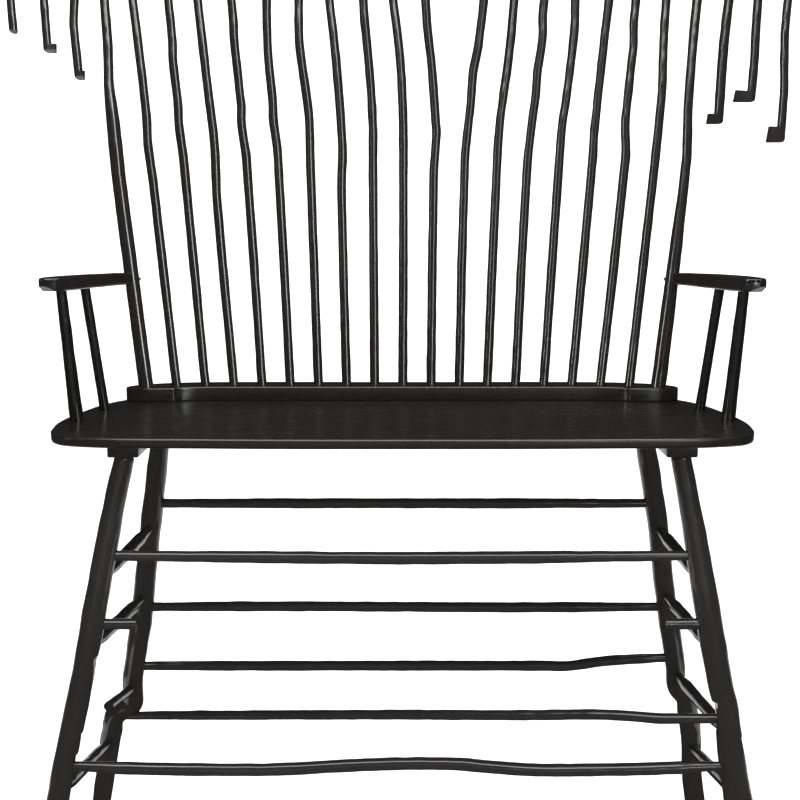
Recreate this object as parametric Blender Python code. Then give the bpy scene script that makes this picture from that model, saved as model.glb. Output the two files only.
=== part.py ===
# A bar-height, settee-wide stick-back armchair in black paint.
# The frame is metres with Z up, the front faces -Y, and the origin is on the floor under the middle.

import math

import bmesh
import bpy
from mathutils import Matrix, Vector

# Fits
CLEARANCE = 0.0003  # between mated pieces
LEG_TENON_IN_SEAT = 0.008
STRETCHER_TENON = 0.012  # how deep a stretcher goes into a leg
STICK_TENON = 0.016  # how deep back sticks go into the riser
CREST_TENON = 0.024
ARM_POST_TENON = 0.009
FREE_END = 0.020  # straight run of a rod outside its socket

# Seat plank, riser and cleats
SEAT_HEIGHT = 0.775
SEAT_WIDTH = 1.104
SEAT_DEPTH = 0.482
SEAT_THICKNESS = 0.0148
SEAT_EDGE = 0.006
SEAT_BOW = 0.015  # how far the front edge bulges
SEAT_CORNER = 0.056
SEAT_TAPER = 0.038  # how much each side draws in towards the rear
SEAT_REAR_CORNER = 0.050
RISER_HEIGHT = 0.024
RISER_DEPTH = 0.094  # at the end blocks
RISER_COVE = 0.020  # how much shallower it is between the end blocks
RISER_BLOCK = 0.087  # length of an end block
RISER_SWEEP = 0.070  # length of the hollow that leads from an end block to the thin part
RISER_END = 0.034  # from the back post's middle to the riser's end
RISER_INSET = 0.002  # from the seat's rear edge
RISER_EDGE = 0.003
CLEAT_INSET = 0.124  # from the seat's widest point to the cleat's middle
CLEAT_WIDTH = 0.048
CLEAT_THICKNESS = 0.0232
CLEAT_FRONT = 0.045
CLEAT_REAR_INSET = 0.052  # from the seat's rear edge
CLEAT_EDGE = 0.0025

# Back
STICK_PITCH_BASE = 0.0507
STICK_PITCH_TOP = 0.0608
STICK_PITCH_BOW = 0.0007  # how far the fan bows out at half height, at each step from the middle
STICK_SETBACK = 0.037  # from the riser's rear edge to the row of sockets
STICK_ROW_SHIFT = 0.0012  # the spindles stand this far to the right of the seat's middle
STICK_ROW_CURVE = 0.030  # how far the row comes forward at the back posts
STICK_RADIUS_BASE = 0.0077
STICK_RADIUS_TOP = 0.0073
STICK_SWAY = 0.4  # how much a stick strays to the front or rear, next to how much it strays sideways
POST_RADIUS_BASE = 0.0122
POST_RADIUS_WAIST = 0.0112
POST_RADIUS_TOP = 0.0080
BACK_HEIGHT = 0.742  # seat top to the crest's lower edge
BACK_RAKE = math.radians(8.0)
CREST_OVERHANG = 0.203  # past the back posts
CREST_HEIGHT = 0.084
CREST_END_HEIGHT = 0.058
CREST_THICKNESS = 0.028
CREST_EDGE = 0.004
DROP_RADIUS = 0.0072

# Arms
ARM_HEIGHT = 0.205  # seat top to the arm's underside at the back post
ARM_RISE = math.radians(1.5)  # towards the front
ARM_THICKNESS = 0.019
ARM_EDGE = 0.004
ARM_NOSE = 0.074  # how far the arm reaches in front of its front post
ARM_END_GAP = 0.0015  # between the arm's end and the peg's head
ARM_REAR_WIDTH = 0.030
ARM_REAR_SHIFT = 0.014  # the rear end's middle lies this far outside the back post's middle
ARM_WAIST_WIDTH = 0.036
ARM_PADDLE_WIDTH = 0.047
ARM_TENON_RADIUS = 0.0046
ARM_TENON_ROOT = 0.032  # how far inside the arm the tenon starts
ARM_TENON_PAST = 0.005  # the tenon's end lies this far past the post's middle
ARM_TENON_DROP = 0.003  # its middle lies this far below the arm's
ARM_POST_INSET = 0.0265  # from the seat's widest point
ARM_POST_BACK = 0.171  # from the seat's front corners
ARM_POST_LEAN = (0.016, -0.011)  # outwards and backwards, from seat to arm
ARM_POST_RADIUS_BASE = 0.0105
ARM_POST_RADIUS_TOP = 0.0082
ARM_STICK_INSET = 0.048
ARM_STICK_BACK = 0.285
ARM_STICK_LEAN = (0.026, -0.007)
ARM_STICK_RADIUS = 0.0078
PEG_RADIUS = 0.0020
PEG_HEAD_RADIUS = 0.0036
PEG_HEAD_LENGTH = 0.0032

# Legs and stretchers
FRONT_LEG_SETBACK = 0.040  # from the cleat's front end to the leg's middle
FRONT_LEG_OFFSET = 0.004  # from the cleat's middle outwards
FRONT_LEG_SPLAY = (0.143, -0.061)  # outwards and backwards, from cleat to floor
REAR_LEG_SETBACK = 0.054  # from the cleat's rear end
REAR_LEG_OFFSET = -0.005
REAR_LEG_SPLAY = (0.130, 0.044)
LEG_RADIUS = 0.0172
LEG_TOP_RADIUS = 0.0160
LEG_TENON_RADIUS = 0.0105
LEG_NECK = 0.004  # bare tenon between the cleat and the leg's shoulder
LEG_SHOULDER = 0.010  # length of the rounded shoulder
FRONT_STRETCHER_HEIGHTS = {"upper": 0.5765, "lower": 0.243}
REAR_STRETCHER_HEIGHTS = {"upper": 0.593, "middle": 0.3995, "lower": 0.286}
REAR_LOWER_LIFT = 0.016  # how much higher its right end is
CROSS_STRETCHER_HEIGHTS = (0.190, 0.319)  # at the rear left leg, then at the front right leg
# Side stretchers: height at the front leg, then at the rear leg
SIDE_STRETCHER_HEIGHTS = {
    "left": ((0.538, 0.548), (0.428, 0.418), (0.200, 0.138)),
    "right": ((0.538, 0.546), (0.428, 0.422), (0.292, 0.271), (0.200, 0.126)),
}
FRONT_STRETCHER_RADIUS = 0.0093
REAR_STRETCHER_RADIUS = 0.0083
CROSS_STRETCHER_RADIUS = 0.0081
SIDE_STRETCHER_RADIUS = 0.0095
STRETCHER_END_RADIUS = 0.0070
FRONT_PEG_HEIGHT = 0.469
FRONT_PEG_LENGTH = 0.052
REAR_PEG_HEIGHT = 0.244
REAR_PEG_LENGTH = 0.136
REAR_PEG_RISE = 0.048  # how much higher the rear peg's line is where it meets the front leg
LEG_PEG_RADIUS = 0.0080

# Bends of the back sticks, left to right: share of the way up, then how far the stick strays to the right
STICK_BENDS = (
    ((0.52, 0.003), (0.62, 0.000), (0.66, 0.003), (0.77, 0.002), (0.85, 0.000), (0.96, -0.004)),
    ((0.58, 0.004), (0.66, 0.001), (0.71, 0.003), (0.81, 0.000), (0.85, 0.002), (0.96, 0.000)),
    ((0.48, 0.001), (0.59, 0.005), (0.68, 0.003), (0.75, 0.000), (0.86, -0.004), (0.96, -0.008)),
    ((0.58, 0.003), (0.66, -0.002), (0.70, 0.000), (0.87, -0.006), (0.91, -0.005), (0.96, -0.007)),
    ((0.60, 0.003), (0.67, -0.002), (0.71, -0.001), (0.83, -0.006), (0.96, -0.004)),
    ((0.57, 0.004), (0.68, 0.005), (0.75, 0.000), (0.86, -0.008), (0.96, -0.006)),
    ((0.51, 0.002), (0.59, 0.006), (0.75, 0.001), (0.88, -0.006), (0.96, -0.012)),
    ((0.57, 0.003), (0.64, 0.004), (0.77, 0.000), (0.91, -0.009), (0.96, -0.011)),
    ((0.62, 0.001), (0.76, -0.002), (0.86, -0.008), (0.96, -0.018)),
    ((0.54, -0.001), (0.64, 0.003), (0.72, -0.002), (0.81, -0.008), (0.89, -0.016), (0.96, -0.020)),
    ((0.58, -0.002), (0.71, 0.006), (0.78, 0.008), (0.85, 0.017), (0.96, 0.025)),
    ((0.57, -0.001), (0.66, 0.001), (0.80, 0.012), (0.88, 0.017), (0.96, 0.020)),
    ((0.57, -0.003), (0.74, 0.006), (0.78, 0.006), (0.87, 0.013), (0.92, 0.011), (0.96, 0.013)),
    ((0.56, -0.003), (0.66, -0.002), (0.71, 0.002), (0.89, 0.011), (0.96, 0.009)),
    ((0.58, 0.000), (0.64, -0.001), (0.80, 0.003), (0.87, 0.005), (0.96, 0.009)),
    ((0.59, 0.002), (0.66, -0.005), (0.85, -0.001), (0.90, -0.004), (0.96, -0.003)),
    ((0.57, -0.002), (0.75, -0.002), (0.81, -0.005), (0.91, -0.008), (0.96, -0.008)),
)
POST_BENDS = {
    "left": ((0.38, 0.002), (0.54, 0.001), (0.68, 0.002), (0.75, 0.001), (0.84, 0.006), (0.96, 0.007)),
    "right": ((0.38, -0.003), (0.58, -0.003), (0.69, -0.010), (0.87, -0.013), (0.96, -0.012)),
}
# Share of the way up between which each back post thins
POST_THINS = {"left": (0.65, 0.76), "right": (0.30, 0.48)}
# Drop spindles: distance outwards from the back post, points down from the crest with how far the rod strays
# outwards there, then the length and the radius of the toe that points inwards
DROP_SPINDLES = {
    "left": (
        (0.162, ((0.090, -0.008),), 0.000, 0.0072),
        (0.102, ((0.085, -0.007), (0.112, -0.009)), 0.015, 0.0080),
        (0.043, ((0.070, 0.003), (0.138, -0.004), (0.160, -0.006)), 0.010, 0.0085),
    ),
    "right": (
        (0.046, ((0.111, -0.013), (0.209, -0.020), (0.238, -0.022)), 0.020, 0.0090),
        (0.097, ((0.102, -0.007), (0.129, -0.008), (0.198, -0.014)), 0.030, 0.0100),
        (0.152, ((0.094, -0.009), (0.192, -0.010), (0.245, -0.014), (0.268, -0.016)), 0.023, 0.0120),
    ),
}
# Legs: share of the way up, then how far the leg strays outwards, then how much thicker it is there
LEG_BENDS = {
    "leg_front_left": (
        (0.86, 0.003, -0.001), (0.65, 0.002, 0.001), (0.45, 0.003, 0.000), (0.33, 0.006, -0.001),
        (0.14, 0.006, 0.000)
    ),
    "leg_front_right": (
        (0.86, 0.000, -0.001), (0.65, -0.002, 0.002), (0.52, -0.003, 0.001), (0.45, -0.001, 0.000),
        (0.34, -0.007, 0.003), (0.14, -0.009, 0.004)
    ),
    "leg_rear_left": (
        (0.76, -0.006, 0.000), (0.61, -0.011, 0.000), (0.51, -0.014, 0.001), (0.36, -0.015, 0.000),
        (0.30, -0.019, 0.001), (0.235, 0.008, 0.000), (0.14, 0.010, -0.001)
    ),
    "leg_rear_right": (
        (0.76, 0.002, 0.000), (0.61, -0.003, 0.000), (0.40, -0.004, 0.000), (0.34, -0.005, 0.000),
        (0.28, 0.007, 0.001), (0.18, 0.004, 0.000), (0.08, -0.004, 0.000)
    ),
}
# Stretchers: share of the way from the first leg to the second, then how far the rod strays upwards
FRONT_STRETCHER_BENDS = {
    "upper": ((0.50, -0.004),),
    "lower": ((0.05, -0.003), (0.28, -0.006), (0.38, -0.001), (0.48, 0.004), (0.60, 0.004), (0.65, -0.001),
              (0.72, -0.006), (0.80, -0.006), (0.91, -0.004)),
}
REAR_STRETCHER_BENDS = {
    "upper": ((0.50, 0.000),),
    "middle": ((0.30, 0.001), (0.70, -0.001)),
    "lower": ((0.28, -0.004), (0.77, -0.011), (0.83, -0.013), (0.89, -0.005), (0.97, -0.001)),
}
CROSS_STRETCHER_BENDS = (
    (0.24, 0.002), (0.50, 0.004), (0.71, 0.004), (0.84, 0.006), (0.88, 0.004), (0.93, 0.000)
)
SIDE_STRETCHER_BENDS = ((0.30, 0.000), (0.70, 0.000))

# Facets
ROD_BEVEL = 2  # eight sides
LEG_BEVEL = 3  # ten sides
PLANK_BEVEL = 1  # two facets on an edge
RAIL_BEVEL = 0  # one facet
SOCKET_SIDES = 8
LEG_SOCKET_SIDES = 10
COPE_SIDES = 16
OUTLINE_STEPS = 3
FINE_STEP = 0.062  # a longer stretch between two bends gets a point at its middle

# Worked out from the sizes above
SIDES = {"left": -1.0, "right": 1.0}
HALF_WIDTH = SEAT_WIDTH / 2
POST_PLACE = (len(STICK_BENDS) + 1) / 2
RISER_TOP = SEAT_HEIGHT + RISER_HEIGHT + CLEARANCE
RISER_REAR = SEAT_DEPTH - RISER_INSET
RISER_HALF = POST_PLACE * STICK_PITCH_BASE + RISER_END
CLEAT_MIDDLE = HALF_WIDTH - CLEAT_INSET
CLEAT_REAR = SEAT_DEPTH - CLEAT_REAR_INSET
CLEAT_TOP = SEAT_HEIGHT - SEAT_THICKNESS - CLEARANCE
CLEAT_BOTTOM = CLEAT_TOP - CLEAT_THICKNESS
STICK_ROW = RISER_REAR - STICK_SETBACK
CREST_BOTTOM = SEAT_HEIGHT + BACK_HEIGHT
CREST_ROW = STICK_ROW + (CREST_BOTTOM - RISER_TOP) * math.tan(BACK_RAKE)
CREST_HALF = POST_PLACE * STICK_PITCH_TOP + CREST_OVERHANG
ARM_POST_BASE = Vector((HALF_WIDTH - ARM_POST_INSET, ARM_POST_BACK))
ARM_POST_TOP = ARM_POST_BASE + Vector(ARM_POST_LEAN)
ARM_STICK_BASE = Vector((HALF_WIDTH - ARM_STICK_INSET, ARM_STICK_BACK))
ARM_STICK_TOP = ARM_STICK_BASE + Vector(ARM_STICK_LEAN)
FRONT_LEG_TOP = Vector((CLEAT_MIDDLE + FRONT_LEG_OFFSET, CLEAT_FRONT + FRONT_LEG_SETBACK))
REAR_LEG_TOP = Vector((CLEAT_MIDDLE + REAR_LEG_OFFSET, CLEAT_REAR - REAR_LEG_SETBACK))


def clear_scene():
    for obj in list(bpy.data.objects):
        bpy.data.objects.remove(obj, do_unlink=True)


def new_collection(name, parent):
    collection = bpy.data.collections.new(name)
    parent.children.link(collection)
    return collection


def black_paint(name, shade, roughness):
    material = bpy.data.materials.new(name)
    material.use_nodes = True
    shader = material.node_tree.nodes["Principled BSDF"]
    shader.inputs["Base Color"].default_value = (shade, shade * 0.97, shade * 0.93, 1.0)
    shader.inputs["Roughness"].default_value = roughness
    shader.inputs["Metallic"].default_value = 0.0
    return material


clear_scene()
parts = new_collection("spindle_back_armchair", bpy.context.scene.collection)
cutters = new_collection("cutters", bpy.context.scene.collection)
cutters.hide_render = True
root = bpy.data.objects.new("armchair_origin", None)
parts.objects.link(root)
cutter_sets = {}

seat_paint = black_paint("seat_black_paint", 0.020, 0.28)
back_paint = black_paint("back_black_paint", 0.022, 0.34)
leg_paint = black_paint("leg_black_paint", 0.018, 0.36)
arm_paint = black_paint("arm_black_paint", 0.020, 0.30)
peg_paint = black_paint("peg_black_paint", 0.024, 0.40)


def keep(obj, material):
    """Adds a finished sub-part to the object."""
    parts.objects.link(obj)
    obj.parent = root
    obj.data.materials.append(material)
    return obj


def as_mesh(curve_object):
    """The curve as a closed mesh in its place, so that it can be cut."""
    bpy.context.scene.collection.objects.link(curve_object)
    bpy.context.view_layer.update()
    graph = bpy.context.evaluated_depsgraph_get()
    mesh = bpy.data.meshes.new_from_object(curve_object.evaluated_get(graph))
    mesh.transform(curve_object.matrix_world)
    name = curve_object.name
    curve = curve_object.data
    bpy.data.objects.remove(curve_object)
    bpy.data.curves.remove(curve)
    shape = bmesh.new()
    shape.from_mesh(mesh)
    bmesh.ops.remove_doubles(shape, verts=shape.verts, dist=0.00002)
    bmesh.ops.recalc_face_normals(shape, faces=shape.faces)
    shape.to_mesh(mesh)
    shape.free()
    return bpy.data.objects.new(name, mesh)


def shade_round(obj):
    obj.data.shade_smooth()
    obj.data.set_sharp_from_angle(angle=math.radians(50.0))
    return obj


def smooth_path(knots):
    """Points on a smooth curve through the knots, with one more at the middle of each long stretch."""
    slopes = []
    for i, knot in enumerate(knots):
        before = knots[max(i - 1, 0)]
        after = knots[min(i + 1, len(knots) - 1)]
        slopes.append((after - before) / ((after - knot).length + (knot - before).length))
    path = []
    for i in range(len(knots) - 1):
        span = (knots[i + 1] - knots[i]).length
        steps = 2 if span > FINE_STEP else 1
        for step in range(steps):
            t = step / steps
            path.append(
                knots[i] * (2 * t**3 - 3 * t**2 + 1)
                + slopes[i] * span * (t**3 - 2 * t**2 + t)
                + knots[i + 1] * (3 * t**2 - 2 * t**3)
                + slopes[i + 1] * span * (t**3 - t**2)
            )
    path.append(knots[-1].copy())
    return path


def rod_curve(name, path, radii, bevel):
    """A round rod along the path, with a radius at each point and closed ends."""
    curve = bpy.data.curves.new(name, "CURVE")
    curve.dimensions = "3D"
    curve.bevel_depth = 1.0
    curve.bevel_resolution = bevel
    curve.use_fill_caps = True
    spline = curve.splines.new("POLY")
    spline.points.add(len(path) - 1)
    spline.use_smooth = True
    for point, place, radius in zip(spline.points, path, radii):
        point.co = (*place, 1.0)
        point.radius = radius
    return bpy.data.objects.new(name, curve)


def outline_curve(name, half, thickness, edge, bevel, creases=()):
    """A plank with rounded edges: the right half of its outline is mirrored, and joined by a smooth curve."""
    left_half = [(-x, y) for x, y in reversed(half) if x > 0]
    return closed_plank(name, list(half) + left_half, thickness, edge, bevel, creases)


def closed_plank(name, outline, thickness, edge, bevel, creases=()):
    """A plank with rounded edges and a closed outline that is smooth but for the creases."""
    rounding = min(edge, thickness * 0.45)
    curve = bpy.data.curves.new(name, "CURVE")
    curve.dimensions = "2D"
    curve.fill_mode = "BOTH"
    curve.extrude = thickness / 2 - rounding
    curve.bevel_depth = rounding
    curve.bevel_resolution = bevel
    curve.offset = -rounding
    curve.resolution_u = OUTLINE_STEPS
    spline = curve.splines.new("BEZIER")
    spline.use_cyclic_u = True
    spline.bezier_points.add(len(outline) - 1)
    for point, (x, y) in zip(spline.bezier_points, outline):
        point.co = (x, y, 0.0)
        handle = "VECTOR" if (abs(x), y) in creases else "AUTO"
        point.handle_left_type = handle
        point.handle_right_type = handle
    return bpy.data.objects.new(name, curve)


def cutter_set(target):
    """The collection that holds what is cut from this sub-part."""
    if target.name not in cutter_sets:
        collection = new_collection("cutters_" + target.name, cutters)
        cutter_sets[target.name] = collection
        cut = target.modifiers.new("joints", "BOOLEAN")
        cut.operation = "DIFFERENCE"
        cut.solver = "EXACT"
        cut.operand_type = "COLLECTION"
        cut.collection = collection
    return cutter_sets[target.name]


def add_cutter(target, obj):
    obj.hide_render = True
    obj.display_type = "WIRE"
    obj.parent = root
    cutter_set(target).objects.link(obj)


def cylinder_mesh(name, start, end, radius, sides):
    mesh = bpy.data.meshes.new(name)
    shape = bmesh.new()
    axis = end - start
    turn = axis.to_track_quat("Z", "Y").to_matrix().to_4x4()
    place = Matrix.Translation((start + end) / 2) @ turn
    bmesh.ops.create_cone(
        shape, cap_ends=True, segments=sides, radius1=radius, radius2=radius, depth=axis.length, matrix=place
    )
    shape.to_mesh(mesh)
    shape.free()
    return bpy.data.objects.new(name, mesh)


def socket_radius(radius, sides):
    """A many-sided hole of this radius lets a rod of the given radius turn in it with the clearance."""
    return (radius + CLEARANCE) / math.cos(math.pi / sides)


def drill(target, outside, tip, radius, sides=SOCKET_SIDES):
    """A round socket for a rod of this radius that enters from outside and ends at the tip."""
    along = (tip - outside).normalized()
    room = socket_radius(radius, sides)
    name = f"{target.name}_socket_{len(cutter_set(target).objects) + 1}"
    add_cutter(target, cylinder_mesh(name, outside, tip + along * CLEARANCE, room, sides))


def combine(target, operation, tool):
    """A Boolean with one other shape, which stays out of the finished object."""
    tool.hide_render = True
    tool.display_type = "WIRE"
    tool.parent = root
    cutters.objects.link(tool)
    modifier = target.modifiers.new(tool.name, "BOOLEAN")
    modifier.operation = operation
    modifier.solver = "EXACT"
    modifier.object = tool


def box_mesh(name, low, high):
    mesh = bpy.data.meshes.new(name)
    shape = bmesh.new()
    size = Vector(high) - Vector(low)
    place = Matrix.Translation((Vector(low) + Vector(high)) / 2) @ Matrix.Diagonal((*size, 1.0))
    bmesh.ops.create_cube(shape, size=1.0, matrix=place)
    shape.to_mesh(mesh)
    shape.free()
    return bpy.data.objects.new(name, mesh)


def at_height(path, values, height):
    """The rod's centre and its value at this height, on the straight run between two of its points."""
    for i in range(len(path) - 1):
        low, high = sorted((path[i].z, path[i + 1].z))
        if low <= height <= high:
            share = (height - path[i].z) / (path[i + 1].z - path[i].z)
            value = values[i] + (values[i + 1] - values[i]) * share
            return path[i].lerp(path[i + 1], share), value
    raise ValueError(f"the rod doesn't reach the height {height}")


def lift(flat, height):
    return Vector((flat.x, flat.y, height))


def mirrored(point, side):
    return Vector((point.x * side, *point[1:]))


# Seat plank, riser and cleats


def seat_half_outline():
    rear_half = HALF_WIDTH - SEAT_TAPER
    return (
        (0.0, -SEAT_BOW),
        (HALF_WIDTH * 0.55, -SEAT_BOW * 0.65),
        (HALF_WIDTH - SEAT_CORNER, SEAT_CORNER * 0.14),
        (HALF_WIDTH - SEAT_CORNER * 0.52, SEAT_CORNER * 0.45),
        (HALF_WIDTH - SEAT_CORNER * 0.21, SEAT_CORNER * 1.10),
        (HALF_WIDTH - SEAT_CORNER * 0.07, SEAT_CORNER * 1.90),
        (HALF_WIDTH, SEAT_DEPTH * 0.33),
        (HALF_WIDTH - SEAT_TAPER * 0.35, SEAT_DEPTH * 0.585),
        (rear_half, SEAT_DEPTH * 0.79),
        (rear_half - SEAT_REAR_CORNER * 0.68, SEAT_DEPTH - SEAT_REAR_CORNER),
        (rear_half - SEAT_REAR_CORNER * 1.80, SEAT_DEPTH - SEAT_REAR_CORNER * 0.26),
        (rear_half - SEAT_REAR_CORNER * 3.40, SEAT_DEPTH),
        (0.0, SEAT_DEPTH),
    )


def build_seat():
    plank = outline_curve("seat_plank", seat_half_outline(), SEAT_THICKNESS, SEAT_EDGE, PLANK_BEVEL)
    plank.location.z = SEAT_HEIGHT - SEAT_THICKNESS / 2
    return keep(shade_round(as_mesh(plank)), seat_paint)


def riser_half_outline():
    front = RISER_REAR - RISER_DEPTH
    cove = front + RISER_COVE
    block = RISER_HALF - RISER_BLOCK
    corner = SEAT_REAR_CORNER
    return (
        (0.0, cove),
        (block - RISER_SWEEP, cove),
        (block - RISER_SWEEP * 0.62, cove - RISER_COVE * 0.08),
        (block - RISER_SWEEP * 0.32, cove - RISER_COVE * 0.30),
        (block - RISER_SWEEP * 0.12, cove - RISER_COVE * 0.62),
        (block, front),
        (RISER_HALF - corner * 0.36, front + corner * 0.02),
        (RISER_HALF - corner * 0.08, front + corner * 0.20),
        (RISER_HALF, front + corner * 0.48),
        (RISER_HALF - corner * 0.24, RISER_REAR - corner * 0.92),
        (RISER_HALF - corner * 0.90, RISER_REAR - corner * 0.46),
        (RISER_HALF - corner * 1.80, RISER_REAR - corner * 0.16),
        (RISER_HALF - corner * 3.00, RISER_REAR),
        (0.0, RISER_REAR),
    )


def build_riser():
    crease = (RISER_HALF - RISER_BLOCK, RISER_REAR - RISER_DEPTH)
    outline = riser_half_outline()
    riser = outline_curve("spindle_riser", outline, RISER_HEIGHT, RISER_EDGE, RAIL_BEVEL, [crease])
    riser.location.z = RISER_TOP - RISER_HEIGHT / 2
    return keep(shade_round(as_mesh(riser)), seat_paint)


def build_cleat(name, side):
    middle = side * CLEAT_MIDDLE
    low = (middle - CLEAT_WIDTH / 2, CLEAT_FRONT, CLEAT_BOTTOM)
    high = (middle + CLEAT_WIDTH / 2, CLEAT_REAR, CLEAT_TOP)
    shape = bmesh.new()
    box = box_mesh(name, low, high)
    shape.from_mesh(box.data)
    bmesh.ops.bevel(
        shape, geom=shape.edges[:], offset=CLEAT_EDGE, segments=2, profile=0.5, affect="EDGES"
    )
    shape.to_mesh(box.data)
    shape.free()
    return keep(shade_round(box), seat_paint)


# Back


def stick_line(place, share):
    """Where a back stick runs at this share of the way up, for its place counted from the middle."""
    base_y = STICK_ROW - STICK_ROW_CURVE * abs(place / POST_PLACE) ** 6
    pitch = STICK_PITCH_BASE + (STICK_PITCH_TOP - STICK_PITCH_BASE) * share
    pitch += STICK_PITCH_BOW * 4 * share * (1 - share)
    height = RISER_TOP + (CREST_BOTTOM - RISER_TOP) * share
    return Vector((place * pitch, base_y + (CREST_ROW - base_y) * share, height))


def share_of_back(height):
    return (height - RISER_TOP) / (CREST_BOTTOM - RISER_TOP)


def stick_path(place, bends, sway, shift):
    """A back stick from its tip in the riser to its tip in the crest, all of it shifted to the right."""
    start = stick_line(place, 0.0)
    first = stick_line(place, FREE_END / (CREST_BOTTOM - RISER_TOP))
    knots = [first]
    for share, stray in bends:
        height = SEAT_HEIGHT + BACK_HEIGHT * share
        knots.append(stick_line(place, share_of_back(height)) + Vector((stray, stray * sway, 0.0)))
    end = knots[-1]
    tip_low = start + (start - first).normalized() * STICK_TENON
    mouth = stick_line(place, 1.0) + (end - stick_line(place, share_of_back(end.z)))
    tip_high = mouth + (mouth - end).normalized() * CREST_TENON
    aside = Vector((shift, 0.0, 0.0))
    return [point + aside for point in [tip_low] + smooth_path(knots) + [tip_high]]


def taper(path, base, top):
    low, high = path[0].z, path[-1].z
    return [base + (top - base) * (point.z - low) / (high - low) for point in path]


def fit_stick(path, radii, riser, crest):
    drill(riser, path[1], path[0], radii[0])
    drill(crest, path[-2], path[-1], radii[-2])


def build_spindles(riser, crest):
    for i, bends in enumerate(STICK_BENDS):
        sway = STICK_SWAY if i % 2 else -STICK_SWAY
        path = stick_path(i + 1 - POST_PLACE, bends, sway, STICK_ROW_SHIFT)
        radii = taper(path, STICK_RADIUS_BASE, STICK_RADIUS_TOP)
        keep(rod_curve(f"spindle_{i + 1:02d}", path, radii, ROD_BEVEL), back_paint)
        fit_stick(path, radii, riser, crest)


def build_back_post(side, riser, crest):
    """A thicker stick at the end of the row, which thins above the arm."""
    path = stick_path(SIDES[side] * POST_PLACE, POST_BENDS[side], 0.0, 0.0)
    thick_until, thin_from = POST_THINS[side]
    radii = []
    for point in path:
        share = share_of_back(point.z)
        if share < thick_until:
            radius = POST_RADIUS_BASE + (POST_RADIUS_WAIST - POST_RADIUS_BASE) * max(share, 0.0) / thick_until
        else:
            thinned = min((share - thick_until) / (thin_from - thick_until), 1.0)
            radius = POST_RADIUS_WAIST + (POST_RADIUS_TOP - POST_RADIUS_WAIST) * thinned
        radii.append(radius)
    post = keep(shade_round(as_mesh(rod_curve("back_post_" + side, path, radii, LEG_BEVEL))), back_paint)
    fit_stick(path, radii, riser, crest)
    return post, path, radii


def build_drop_spindle(name, side, outwards, points, toe, toe_radius, crest):
    """A short rod that hangs from the crest, with its end turned inwards."""
    sign = SIDES[side]
    top = POST_PLACE * STICK_PITCH_TOP + outwards

    def on_back(stray, down):
        row = stick_line(0.0, share_of_back(CREST_BOTTOM - down))
        return Vector(((top + stray) * sign, row.y, row.z))

    mouth = on_back(0.0, 0.0)
    knots = [on_back(stray, down) for down, stray in points]
    along = (mouth - knots[0]).normalized()
    entry = mouth - along * FREE_END
    tip = mouth + along * CREST_TENON
    path = [tip] + smooth_path([entry] + knots)
    radii = [DROP_RADIUS] * len(path)
    if toe:
        inwards = Vector((-sign, 0.0, 0.0))
        down = (path[-1] - path[-2]).normalized()
        corner = path[-1]
        path += [
            corner + down * DROP_RADIUS * 0.6 + inwards * DROP_RADIUS * 0.25,
            corner + down * DROP_RADIUS * 0.8 + inwards * DROP_RADIUS * 0.8,
            corner + down * DROP_RADIUS * 0.8 + inwards * max(toe, DROP_RADIUS * 1.4),
        ]
        radii += [(DROP_RADIUS + toe_radius) / 2, toe_radius, toe_radius]
    keep(rod_curve(name, path, radii, ROD_BEVEL), back_paint)
    drill(crest, path[1], tip, DROP_RADIUS)


def crest_half_outline():
    end = CREST_END_HEIGHT
    return (
        (0.0, 0.0),
        (CREST_HALF - end * 1.20, 0.0),
        (CREST_HALF - end * 0.31, end * 0.10),
        (CREST_HALF, end * 0.52),
        (CREST_HALF - end * 0.38, end * 0.93),
        (CREST_HALF - end * 1.45, end),
        (CREST_HALF * 0.48, end + (CREST_HEIGHT - end) * 0.76),
        (0.0, CREST_HEIGHT),
    )


def build_crest():
    rail = outline_curve("crest_rail", crest_half_outline(), CREST_THICKNESS, CREST_EDGE, RAIL_BEVEL)
    rail.location = (0.0, CREST_ROW, CREST_BOTTOM)
    rail.rotation_euler.x = math.pi / 2 - BACK_RAKE
    return keep(shade_round(as_mesh(rail)), back_paint)


# Arms


def arm_underside(post_y, y):
    return SEAT_HEIGHT + ARM_HEIGHT + (post_y - y) * math.tan(ARM_RISE)


def arm_middle(post_x, post_y, y):
    """The arm's middle line in plan: from beside the back post out over both arm posts, then straight on."""
    stick = ARM_STICK_TOP
    post = ARM_POST_TOP
    rear_x = post_x + ARM_REAR_SHIFT
    if y > stick.y:
        return rear_x + (stick.x - rear_x) * (post_y - y) / (post_y - stick.y)
    if y > post.y:
        return stick.x + (post.x - stick.x) * (stick.y - y) / (stick.y - post.y)
    return post.x


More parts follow.
